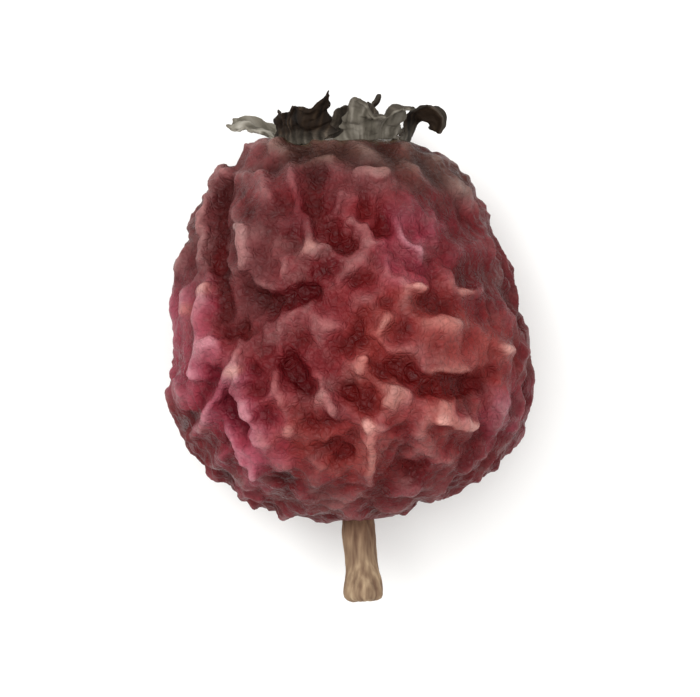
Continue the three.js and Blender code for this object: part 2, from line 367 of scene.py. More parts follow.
def new_tree(name, sockets):
    """A geometry node group that takes a geometry and the named sockets, and gives a geometry."""
    tree = bpy.data.node_groups.new(name, "GeometryNodeTree")
    tree.interface.new_socket("Geometry", in_out="OUTPUT", socket_type="NodeSocketGeometry")
    tree.interface.new_socket("Geometry", in_out="INPUT", socket_type="NodeSocketGeometry")
    for socket, kind in sockets.items():
        tree.interface.new_socket(socket, in_out="INPUT", socket_type=f"NodeSocket{kind}")
    return tree, tree.nodes.new("NodeGroupInput").outputs, tree.nodes.new("NodeGroupOutput").inputs[0]


def end_tree(tree, geometry, material, result):
    """Ends a piece's tree: in metres, shaded smooth, one real mesh, and with its material."""
    metres = add(tree, "GeometryNodeTransform", {"Geometry": geometry, "Scale": (MM, MM, MM)})
    shaded = add(tree, "GeometryNodeSetShadeSmooth", {"Geometry": metres})
    real = add(tree, "GeometryNodeRealizeInstances", {"Geometry": shaded})
    dressed = add(tree, "GeometryNodeSetMaterial", {"Geometry": real, "Material": material})
    tree.links.new(dressed.outputs["Geometry"], result)


def object_of(bm, name):
    """A new object with a bmesh's shape. The bmesh is freed."""
    mesh = bpy.data.meshes.new(name)
    bm.to_mesh(mesh)
    bm.free()
    made = bpy.data.objects.new(name, mesh)
    bpy.context.scene.collection.objects.link(made)
    return made


def copy_of(node, name):
    """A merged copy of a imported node's mesh, in millimetres."""
    bm = bmesh.new()
    bm.from_mesh(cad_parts[node].data)
    bmesh.ops.remove_doubles(bm, verts=bm.verts, dist=1e-7)
    bmesh.ops.scale(bm, vec=(1 / MM,) * 3, verts=bm.verts)
    return object_of(bm, name)


def finer(piece, levels):
    """Rounds a piece with smaller faces."""
    subdivision = piece.modifiers.new("finer", "SUBSURF")
    subdivision.levels = subdivision.render_levels = levels


def shape_with(piece, tree, **sizes):
    """Adds a geometry node tree to a piece, with its named inputs set."""
    modifier = piece.modifiers.new(tree.name, "NODES")
    modifier.node_group = tree
    sockets = {item.name: item.identifier for item in tree.interface.items_tree if item.in_out == "INPUT"}
    for name, value in sizes.items():
        modifier[sockets[name.replace("_", " ")]] = value


def finish_piece(piece, node):
    """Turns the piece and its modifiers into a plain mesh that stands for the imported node."""
    evaluated = piece.evaluated_get(bpy.context.evaluated_depsgraph_get())
    mesh = bpy.data.meshes.new_from_object(evaluated)
    mesh.name = piece.name
    piece.modifiers.clear()
    piece.data = mesh
    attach(piece, "root")
    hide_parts(node)


# ---- the fruit's skin ----


def lines_of(name, runs):
    """A helper object of bare edges through the points of each run, drawn in plan at height 0."""
    bm = bmesh.new()
    for run in runs:
        ends = run if len(run) > 1 else [run[0], (run[0][0] + SPOT_LENGTH, run[0][1])]
        points = [bm.verts.new((across, along, 0)) for across, along in ends]
        for start, end in zip(points, points[1:]):
            bm.edges.new((start, end))
    return object_of(bm, name)


def ridge_growth():
    """Grows a network of folds over a mesh, as drying skin buckles, into a named attribute from 0 to 1.

    Each round sharpens what is about half of Spacing wide and evens out the rest, so the noise that it starts
    from settles into crests that run on, fork and close round hollows. Lean pushes a place up or down.
    """
    tree, given, result = new_tree(
        "grow_folds",
        {
            "Name": "String",
            "Spacing": "Float",
            "Step": "Float",
            "Stretch": "Vector",
            "Seed": "Float",
            "Fullness": "Float",
            "Gain": "Float",
            "Lean": "Float",
            "Rounds": "Int",
        },
    )
    # One blur step spreads a value by 0.4 of the mesh step squared. The narrow blur is Spacing / 6.5 wide,
    # and the wide one goes on from it for three times as many steps.
    width = add(tree, "ShaderNodeMath", {0: given["Spacing"], 1: 6.5}, operation="DIVIDE")
    steps = add(tree, "ShaderNodeMath", {0: width, 1: given["Step"]}, operation="DIVIDE")
    squared = add(tree, "ShaderNodeMath", {0: steps, 1: 2.0}, operation="POWER")
    near = add(tree, "ShaderNodeMath", {0: squared, 1: 0.4}, operation="DIVIDE")
    far = add(tree, "ShaderNodeMath", {0: near, 1: 3.0}, operation="MULTIPLY")

    # Noise a little finer than Spacing, leaning by 0.3 at the most.
    place = add(tree, "GeometryNodeInputPosition")
    stretched = add(tree, "ShaderNodeVectorMath", {0: place, 1: given["Stretch"]}, operation="MULTIPLY")
    grain = add(tree, "ShaderNodeMath", {0: 1.3, 1: given["Spacing"]}, operation="DIVIDE")
    seeds = add(
        tree,
        "ShaderNodeTexNoise",
        {"Vector": stretched, "W": given["Seed"], "Scale": grain, "Detail": 1.0},
        noise_dimensions="4D",
    )
    leaning = add(tree, "ShaderNodeMath", {0: given["Lean"], 1: 0.3, 2: seeds}, operation="MULTIPLY_ADD")
    sown = add(
        tree,
        "GeometryNodeStoreNamedAttribute",
        {"Geometry": given["Geometry"], "Name": given["Name"], "Value": leaning},
    )

    start = tree.nodes.new("GeometryNodeRepeatInput")
    end = tree.nodes.new("GeometryNodeRepeatOutput")
    start.pair_with_output(end)
    tree.links.new(given["Rounds"], start.inputs["Iterations"])
    tree.links.new(sown.outputs["Geometry"], start.inputs["Geometry"])
    level = add(tree, "GeometryNodeInputNamedAttribute", {"Name": given["Name"]}, data_type="FLOAT")
    narrow = add(tree, "GeometryNodeBlurAttribute", {"Value": level, "Iterations": near})
    wide = add(tree, "GeometryNodeBlurAttribute", {"Value": narrow, "Iterations": far})
    band = add(tree, "ShaderNodeMath", {0: narrow, 1: wide}, operation="SUBTRACT")
    base = add(
        tree, "ShaderNodeMath", {0: given["Lean"], 1: 0.1, 2: given["Fullness"]}, operation="MULTIPLY_ADD"
    )
    sharp = add(
        tree, "ShaderNodeMath", {0: band, 1: given["Gain"], 2: base}, operation="MULTIPLY_ADD", use_clamp=True
    )
    kept = add(
        tree,
        "GeometryNodeStoreNamedAttribute",
        {"Geometry": start.outputs["Geometry"], "Name": given["Name"], "Value": sharp},
    )
    tree.links.new(kept.outputs["Geometry"], end.inputs["Geometry"])

    grown = add(tree, "GeometryNodeInputNamedAttribute", {"Name": given["Name"]}, data_type="FLOAT")
    rounded = add(tree, "GeometryNodeBlurAttribute", {"Value": grown, "Iterations": near})
    stored = add(
        tree,
        "GeometryNodeStoreNamedAttribute",
        {"Geometry": end.outputs["Geometry"], "Name": given["Name"], "Value": rounded},
    )
    tree.links.new(stored.outputs["Geometry"], result)
    return tree


def nearness():
    """Gives a mesh a named attribute that is 1 on a helper's lines and falls to 0 at Reach from them.

    The lines are drawn in plan and waver a little. The attribute fades out downwards past Side, the height of
    the fruit's middle, so it marks the upper side alone.
    """
    tree, given, result = new_tree(
        "near_lines",
        {"Name": "String", "Lines": "Object", "Reach": "Float", "Waver": "Float", "Side": "Float"},
    )
    place = add(tree, "GeometryNodeInputPosition")
    wander = add(tree, "ShaderNodeTexNoise", {"Vector": place, "Scale": 1.7, "Detail": 2.0})
    centred = add(
        tree, "ShaderNodeVectorMath", {0: wander.outputs["Color"], 1: (0.5, 0.5, 0.5)}, operation="SUBTRACT"
    )
    shift = add(tree, "ShaderNodeVectorMath", {0: centred, "Scale": given["Waver"]}, operation="SCALE")
    moved = add(tree, "ShaderNodeVectorMath", {0: place, 1: shift}, operation="ADD")
    plan = add(tree, "ShaderNodeVectorMath", {0: moved, 1: (1.0, 1.0, 0.0)}, operation="MULTIPLY")
    lines = add(tree, "GeometryNodeObjectInfo", {"Object": given["Lines"]})
    gap = add(
        tree,
        "GeometryNodeProximity",
        {"Geometry": lines.outputs["Geometry"], "Sample Position": plan},
        target_element="EDGES",
    )
    near = add(
        tree,
        "ShaderNodeMapRange",
        {"Value": gap.outputs["Distance"], "From Min": given["Reach"], "From Max": 0.0},
        interpolation_type="SMOOTHERSTEP",
    )
    parts = add(tree, "ShaderNodeSeparateXYZ", {0: place})
    lower = add(tree, "ShaderNodeMath", {0: given["Side"], 1: FADE_BELOW}, operation="SUBTRACT")
    higher = add(tree, "ShaderNodeMath", {0: given["Side"], 1: FADE_ABOVE}, operation="ADD")
    upper = add(
        tree,
        "ShaderNodeMapRange",
        {"Value": parts.outputs["Z"], "From Min": lower, "From Max": higher},
        interpolation_type="SMOOTHSTEP",
    )
    share = add(tree, "ShaderNodeMath", {0: near, 1: upper}, operation="MULTIPLY")
    stored = add(
        tree,
        "GeometryNodeStoreNamedAttribute",
        {"Geometry": given["Geometry"], "Name": given["Name"], "Value": share},
    )
    tree.links.new(stored.outputs["Geometry"], result)
    return tree


def dried_skin_tree(material):
    """Wrinkles the fruit's skin, less on the rim and not in the socket, and keeps it above the ground."""
    growth, near_lines = ridge_growth(), nearness()
    tree, given, result = new_tree(
        "dried_skin",
        {
            "Step": "Float",
            "Fold spacing": "Float",
            "Fold height": "Float",
            "Wrinkle spacing": "Float",
            "Wrinkle height": "Float",
            "Crepe spacing": "Float",
            "Crepe height": "Float",
            "Crest height": "Float",
            "Hollow depth": "Float",
            "Shoulder height": "Float",
            **{f"{mark} lines": "Object" for mark in MARKS},
            **{f"{mark} {size}": "Float" for mark in MARKS for size in ("reach", "waver")},
            "Side": "Float",
            "Crown": "Vector",
            "Foot": "Vector",
            "Axis": "Vector",
        },
    )
    place = add(tree, "GeometryNodeInputPosition")
    normal = add(tree, "GeometryNodeInputNormal")

    # The solid's facets are smoothed away, and then every mark is drawn on the skin.
    eased = add(
        tree,
        "GeometryNodeBlurAttribute",
        {"Value": place, "Iterations": EASING_BLUR},
        data_type="FLOAT_VECTOR",
    )
    marked = add(tree, "GeometryNodeSetPosition", {"Geometry": given["Geometry"], "Position": eased})
    for mark in MARKS:
        marked = add(
            tree,
            "GeometryNodeGroup",
            {
                "Geometry": marked,
                "Name": mark,
                "Lines": given[f"{mark} lines"],
                "Reach": given[f"{mark} reach"],
                "Waver": given[f"{mark} waver"],
                "Side": given["Side"],
            },
            node_tree=near_lines,
        )
    crest, hollow, calm, full, fold, wrinkle = (
        add(tree, "GeometryNodeInputNamedAttribute", {"Name": name}, data_type="FLOAT")
        for name in ("crest", "hollow", "calm", "full", "fold", "wrinkle")
    )
    pull = add(tree, "ShaderNodeMath", {0: hollow, 1: HOLLOW_PULL}, operation="MULTIPLY")
    lean = add(tree, "ShaderNodeMath", {0: crest, 1: pull}, operation="SUBTRACT")

    # The share of the relief: none in the socket, less on the rim and in the cup, and all of it on the skin.
    from_crown = add(tree, "ShaderNodeVectorMath", {0: place, 1: given["Crown"]}, operation="DISTANCE")
    past_rim = add(
        tree,
        "ShaderNodeMapRange",
        {"Value": from_crown.outputs["Value"], "From Min": RIM_REACH[0], "From Max": RIM_REACH[1]},
        interpolation_type="SMOOTHSTEP",
    )
    from_foot = add(tree, "ShaderNodeVectorMath", {0: place, 1: given["Foot"]}, operation="DISTANCE")
    past_socket = add(
        tree,
        "ShaderNodeMapRange",
        {"Value": from_foot.outputs["Value"], "From Min": SOCKET_REACH[0], "From Max": SOCKET_REACH[1]},
        interpolation_type="SMOOTHSTEP",
    )
    rim_too = add(tree, "ShaderNodeMapRange", {"Value": past_rim, "To Min": RIM_SHARE, "To Max": 1.0})
    share = add(tree, "ShaderNodeMath", {0: rim_too, 1: past_socket}, operation="MULTIPLY")

    # The broad folds, with the main crests and hollows and the full shoulder on them.
    folded = add(
        tree,
        "GeometryNodeGroup",
        {
            "Geometry": marked,
            "Name": "fold",
            "Spacing": given["Fold spacing"],
            "Step": given["Step"],
            "Lean": lean,
            **FOLD_GROWTH,
        },
        node_tree=growth,
    )
    fold_narrow = add(tree, "ShaderNodeMath", {0: fold, 1: CREST_POWER}, operation="POWER")
    fold_level = add(tree, "ShaderNodeMath", {0: fold_narrow, 1: OWN_LEVEL}, operation="SUBTRACT")
    fold_rise = add(tree, "ShaderNodeMath", {0: fold_level, 1: given["Fold height"]}, operation="MULTIPLY")
    crest_rise = add(
        tree, "ShaderNodeMath", {0: crest, 1: given["Crest height"], 2: fold_rise}, operation="MULTIPLY_ADD"
    )
    filled = add(
        tree,
        "ShaderNodeMath",
        {0: full, 1: given["Shoulder height"], 2: crest_rise},
        operation="MULTIPLY_ADD",
    )
    sunk = add(tree, "ShaderNodeMath", {0: hollow, 1: given["Hollow depth"]}, operation="MULTIPLY")
    broad = add(tree, "ShaderNodeMath", {0: filled, 1: sunk}, operation="SUBTRACT")
    broad_rise = add(tree, "ShaderNodeMath", {0: broad, 1: share}, operation="MULTIPLY")
    broad_offset = add(tree, "ShaderNodeVectorMath", {0: normal, "Scale": broad_rise}, operation="SCALE")
    buckled = add(tree, "GeometryNodeSetPosition", {"Geometry": folded, "Offset": broad_offset})

    # The wrinkles on them, strong in some patches and faint in others, and faintest where the skin is calm.
    wrinkled = add(
        tree,
        "GeometryNodeGroup",
        {
            "Geometry": buckled,
            "Name": "wrinkle",
            "Spacing": given["Wrinkle spacing"],
            "Step": given["Step"],
            "Lean": lean,
            **WRINKLE_GROWTH,
        },
        node_tree=growth,
    )
    patches = add(tree, "ShaderNodeTexNoise", {"Vector": place, "Scale": 0.6, "Detail": 1.0})
    patchy = add(
        tree,
        "ShaderNodeMapRange",
        {"Value": patches, "From Min": 0.36, "From Max": 0.62, "To Min": 0.55, "To Max": 1.2},
    )
    stir = add(tree, "ShaderNodeMapRange", {"Value": calm, "To Min": 1.0, "To Max": CALM_SHARE})
    strength = add(tree, "ShaderNodeMath", {0: patchy, 1: stir}, operation="MULTIPLY")
    wrinkle_narrow = add(tree, "ShaderNodeMath", {0: wrinkle, 1: CREST_POWER}, operation="POWER")
    wrinkle_level = add(tree, "ShaderNodeMath", {0: wrinkle_narrow, 1: OWN_LEVEL}, operation="SUBTRACT")
    wrinkle_rise = add(
        tree, "ShaderNodeMath", {0: wrinkle_level, 1: given["Wrinkle height"]}, operation="MULTIPLY"
    )

    # The finest crepe: cusps where a noise passes its middle, about twice for each of its grains. The noise
    # seldom strays from its middle by much more than a sixth, so 6 times that is the crepe's height.
    crepe_grain = add(tree, "ShaderNodeMath", {0: 0.5, 1: given["Crepe spacing"]}, operation="DIVIDE")
    crepe = add(
        tree,
        "ShaderNodeTexNoise",
        {"Vector": place, "Scale": crepe_grain, "Detail": 1.6, "Roughness": 0.6, "Distortion": 0.5},
    )
    from_middle = add(tree, "ShaderNodeMath", {0: crepe, 1: 0.5}, operation="SUBTRACT")
    cusp = add(tree, "ShaderNodeMath", {0: from_middle}, operation="ABSOLUTE")
    crepe_depth = add(tree, "ShaderNodeMath", {0: given["Crepe height"], 1: -6.0}, operation="MULTIPLY")
    fine = add(
        tree, "ShaderNodeMath", {0: cusp, 1: crepe_depth, 2: wrinkle_rise}, operation="MULTIPLY_ADD"
    )
    patched = add(tree, "ShaderNodeMath", {0: fine, 1: strength}, operation="MULTIPLY")
    fine_rise = add(tree, "ShaderNodeMath", {0: patched, 1: share}, operation="MULTIPLY")
    fine_offset = add(tree, "ShaderNodeVectorMath", {0: normal, "Scale": fine_rise}, operation="SCALE")
    raised = add(tree, "GeometryNodeSetPosition", {"Geometry": wrinkled, "Offset": fine_offset})
    above_ground = add(tree, "ShaderNodeVectorMath", {0: place, 1: GROUND}, operation="MAXIMUM")
    resting = add(tree, "GeometryNodeSetPosition", {"Geometry": raised, "Position": above_ground})

    # The colours follow how steep the skin is, for painted shade on the flanks, how far each point stands out
    # from the skin round it, for painted shade in hollows and painted light on crests, and how far it is from
    # the middle of the cup's mouth. In the cup they follow how far it is from the axis.
    broad_normal = add(
        tree,
        "GeometryNodeBlurAttribute",
        {"Value": normal, "Iterations": SLOPE_BLUR},
        data_type="FLOAT_VECTOR",
    )
    upward = add(tree, "ShaderNodeSeparateXYZ", {0: broad_normal})
    flank_shade_share = add(
        tree,
        "ShaderNodeMapRange",
        {"Value": upward.outputs["Z"], "From Min": STEEP[0], "From Max": STEEP[1]},
        interpolation_type="SMOOTHSTEP",
    )
    beside = add(
        tree,
        "GeometryNodeBlurAttribute",
        {"Value": place, "Iterations": BESIDE_BLUR},
        data_type="FLOAT_VECTOR",
    )
    around = add(
        tree,
        "GeometryNodeBlurAttribute",
        {"Value": place, "Iterations": AROUND_BLUR},
        data_type="FLOAT_VECTOR",
    )
    apart = add(tree, "ShaderNodeVectorMath", {0: beside, 1: around}, operation="SUBTRACT")
    standing = add(tree, "ShaderNodeVectorMath", {0: apart, 1: normal}, operation="DOT_PRODUCT")
    to_crown = add(tree, "ShaderNodeVectorMath", {0: place, 1: given["Crown"]}, operation="SUBTRACT")
    onto_axis = add(tree, "ShaderNodeVectorMath", {0: to_crown, 1: given["Axis"]}, operation="PROJECT")
    off_axis = add(tree, "ShaderNodeVectorMath", {0: to_crown, 1: onto_axis}, operation="DISTANCE")
    past_cup = add(
        tree, "ShaderNodeMath", {0: from_crown.outputs["Value"], 1: CUP_REACH}, operation="GREATER_THAN"
    )
    in_cup = add(
        tree,
        "ShaderNodeMath",
        {0: past_cup, 1: OUTSIDE_CUP, 2: off_axis.outputs["Value"]},
        operation="MULTIPLY_ADD",
    )
    kept = resting
    for name, value in [
        ("flank", flank_shade_share),
        ("relief", standing.outputs["Value"]),
        ("from crown", from_crown.outputs["Value"]),
        ("from axis", in_cup),
    ]:
        kept = add(tree, "GeometryNodeStoreNamedAttribute", {"Geometry": kept, "Name": name, "Value": value})
    end_tree(tree, kept, material, result)
    return tree


def fruit():
    """The fruit: its solid with an even mesh and a dried skin."""
    piece = copy_of("fruit", "haw_skin")
    remesh = piece.modifiers.new("even_mesh", "REMESH")
    remesh.mode = "VOXEL"
    remesh.voxel_size = SKIN_STEP
    low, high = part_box("fruit")
    crown, stem_middle = crown_middle(), middle("stem")
    lines, spreads = {}, {}
    for mark, (runs, reach, waver) in MARKS.items():
        lines[f"{mark}_lines"] = lines_of(mark, runs)
        spreads[f"{mark}_reach"] = reach
        spreads[f"{mark}_waver"] = waver
    shape_with(
        piece,
        dried_skin_tree(dried_haw_skin()),
        Step=SKIN_STEP,
        Fold_spacing=FOLD_SPACING,
        Fold_height=FOLD_HEIGHT,
        Wrinkle_spacing=WRINKLE_SPACING,
        Wrinkle_height=WRINKLE_HEIGHT,
        Crepe_spacing=CREPE_SPACING,
        Crepe_height=CREPE_HEIGHT,
        Crest_height=CREST_HEIGHT,
        Hollow_depth=HOLLOW_DEPTH,
        Shoulder_height=SHOULDER_HEIGHT,
        **lines,
        **spreads,
        Side=middle("fruit").z,
        Crown=(crown.x, high.y / MM, crown.z),
        Foot=(stem_middle.x, low.y / MM, stem_middle.z),
        Axis=(-math.sin(math.radians(TURN)), math.cos(math.radians(TURN)), 0.0),
    )
    finish_piece(piece, "fruit")
    for helper in lines.values():
        bpy.data.objects.remove(helper)


# ---- the thin dried pieces ----


def crumpled_tree(name, material, along=None):
    """Crumples a thin dried piece: its points wander, and fibres stand out along it.

    The fibres follow one axis, which `along` squeezes, or the piece's own "lengthwise" attribute.
    """
    tree, given, result = new_tree(
        name,
        {
            "Crumple size": "Float",
            "Crumple": "Float",
            "Fibre spacing": "Float",
            "Fibre height": "Float",
            "Swell": "Float",
        },
    )
    place = add(tree, "GeometryNodeInputPosition")
    grain = add(tree, "ShaderNodeMath", {0: 1.0, 1: given["Crumple size"]}, operation="DIVIDE")
    wild = add(tree, "ShaderNodeTexNoise", {"Vector": place, "Scale": grain, "Detail": 3.0})
    centred = add(
        tree, "ShaderNodeVectorMath", {0: wild.outputs["Color"], 1: (0.5, 0.5, 0.5)}, operation="SUBTRACT"
    )
    wander = add(tree, "ShaderNodeVectorMath", {0: centred, "Scale": given["Crumple"]}, operation="SCALE")
    crumpled = add(tree, "GeometryNodeSetPosition", {"Geometry": given["Geometry"], "Offset": wander})

    if along:
        lengthened = add(tree, "ShaderNodeVectorMath", {0: place, 1: along}, operation="MULTIPLY")
    else:
        lengthened = add(
            tree, "GeometryNodeInputNamedAttribute", {"Name": "lengthwise"}, data_type="FLOAT_VECTOR"
        )
    count = add(tree, "ShaderNodeMath", {0: 1.0, 1: given["Fibre spacing"]}, operation="DIVIDE")
    fibres = add(tree, "ShaderNodeTexNoise", {"Vector": lengthened, "Scale": count, "Detail": 2.0})
    level = add(tree, "ShaderNodeMath", {0: fibres, 1: 0.5}, operation="SUBTRACT")
    rise = add(
        tree,
        "ShaderNodeMath",
        {0: level, 1: given["Fibre height"], 2: given["Swell"]},
        operation="MULTIPLY_ADD",
    )
    normal = add(tree, "GeometryNodeInputNormal")
    offset = add(tree, "ShaderNodeVectorMath", {0: normal, "Scale": rise}, operation="SCALE")
    raised = add(tree, "GeometryNodeSetPosition", {"Geometry": crumpled, "Offset": offset})
    stored = add(
        tree, "GeometryNodeStoreNamedAttribute", {"Geometry": raised, "Name": "fibre", "Value": fibres}
    )
    end_tree(tree, stored, material, result)
    return tree


def sepal_leaf(name, azimuth, leaves, length, width, bend, ease, roll, twist, tip, slant, dust):
    """A dried sepal as a curled sheet with a torn edge, on the rim at an azimuth that goes from +X to +Z.

    It leaves the rim at `leaves` degrees from lying flat on it, and bends over outwards by `bend` degrees in
    all: an `ease` over 1 keeps the bend for the tip. `roll` lifts its edges, `twist` swings its tip, `tip` is
    the width left there, `slant` makes one edge shorter, and `dust` goes from 0, black, to 1, olive grey:
    outside at the foot and at the tip, and inside.
    """
    lean = Matrix.Rotation(math.radians(TURN), 4, "Z")
    stand = Matrix.Translation(crown_middle()) @ lean @ Matrix.Rotation(-math.radians(azimuth), 4, "Y")
    rows, columns = 22, 16
    fray = 0.3  # how much the length varies from side to side
    waver = 0.35  # how much the width varies along it
    pleating = 0.12  # in millimetres at the tip
    wiped = 0.35  # how much less dust lies on the edges at the tip
    squeeze = 0.15  # of the fibres' pattern along the leaf, which draws the fibres out
    bm = bmesh.new()
    dusty = bm.verts.layers.float.new("dust")
    inner_dusty = bm.verts.layers.float.new("inner dust")
    lengthwise = bm.verts.layers.float_vector.new("lengthwise")
    front = bm.verts.layers.float_vector.new("front")
    grid = []
    for column in range(columns + 1):
        side = 2 * column / columns - 1
        frayed = noise.noise(Vector((azimuth, 2.7 * side, 0.4))) * fray
        step = length / rows * (1 - slant * side + frayed)
        radius, height = SEPAL_RADIUS, -SEPAL_SUNK
        strip = []
        for row in range(rows + 1):
            share = row / rows
            angle = math.radians(leaves - bend * share**ease)
            radius += step * math.cos(angle)
            height += step * math.sin(angle)
            half = width / 2 * (1 + (tip - 1) * share**1.2)
            across = half * side * (1 + noise.noise(Vector((azimuth, 6 * share, side))) * waver)
            pleat = math.sin(5 * side + azimuth) + 1.5 * noise.noise(Vector((2 * side, 3 * share, azimuth)))
            lift = roll * share * side**2 + pleating * share * pleat
            outward = radius - lift * math.sin(angle)
            upward = height + lift * math.cos(angle)
            swing = across / SEPAL_RADIUS + math.radians(twist) * share**2
            point = Vector((outward * math.cos(swing), upward, outward * math.sin(swing)))
            vertex = bm.verts.new(stand @ point)
            vertex[dusty] = dust[0] + (dust[1] - dust[0]) * share - wiped * side**2 * share
            vertex[inner_dusty] = dust[2]
            facing = (math.sin(angle) * math.cos(swing), -math.cos(angle), math.sin(angle) * math.sin(swing))
            vertex[front] = stand.to_3x3() @ Vector(facing)
            vertex[lengthwise] = (across, squeeze * length * share, azimuth)
            strip.append(vertex)
        grid.append(strip)
    for left, right in zip(grid, grid[1:]):
        for row in range(rows):
            bm.faces.new((left[row], right[row], right[row + 1], left[row + 1]))
    piece = object_of(bm, name)
    wall = piece.modifiers.new("thickness", "SOLIDIFY")
    wall.thickness = SEPAL_THICKNESS
    wall.offset = 0
    return piece


def sepals():
    """The five sepals, each curled in its own way."""
    tree = crumpled_tree("dried_sepal_surface", dried_sepal())
    for node, shape in zip(SEPALS, SEPAL_SHAPES):
        piece = sepal_leaf(f"haw_{node}", **shape)
        finer(piece, 2)
        shape_with(piece, tree, Crumple_size=0.5, Crumple=0.28, Fibre_spacing=0.12, Fibre_height=0.05)
        finish_piece(piece, node)


def stem():
    """The stem: its solid, swollen a little, with bark fibres along it."""
    tree = crumpled_tree("stem_surface", dry_stem_bark(), (1.0, 0.12, 1.0))
    piece = copy_of("stem", "haw_stem")
    finer(piece, 3)
    shape_with(piece, tree, Crumple_size=0.8, Crumple=0.1, Fibre_spacing=0.12, Fibre_height=0.07, Swell=0.045)
    finish_piece(piece, "stem")


def style():
    """The stub of the style on the floor of the cup, with fibres along it."""
    tree = crumpled_tree("style_surface", dried_style(), (1.0, 0.3, 1.0))
    piece = copy_of("style_stub", "haw_style_stub")
    finer(piece, 2)
    shape_with(piece, tree, Crumple_size=0.4, Crumple=0.1, Fibre_spacing=0.1, Fibre_height=0.05)
    finish_piece(piece, "style_stub")


# ---- materials ----


def new_material(name, **values):
    """A material with its tree and its shader, which has those values set on it."""
    material = bpy.data.materials.new(name)
    material.use_nodes = True
    tree = material.node_tree
    shader = tree.nodes["Principled BSDF"]
    for socket, value in values.items():
        shader.inputs[socket.replace("_", " ")].default_value = value
    return material, tree, shader


def place_in_millimetres(tree):
    """A material's own coordinates on the piece, in millimetres."""
    coordinates = add(tree, "ShaderNodeTexCoord")
    return add(
        tree, "ShaderNodeVectorMath", {0: coordinates.outputs["Object"], "Scale": 1 / MM}, operation="SCALE"
    )


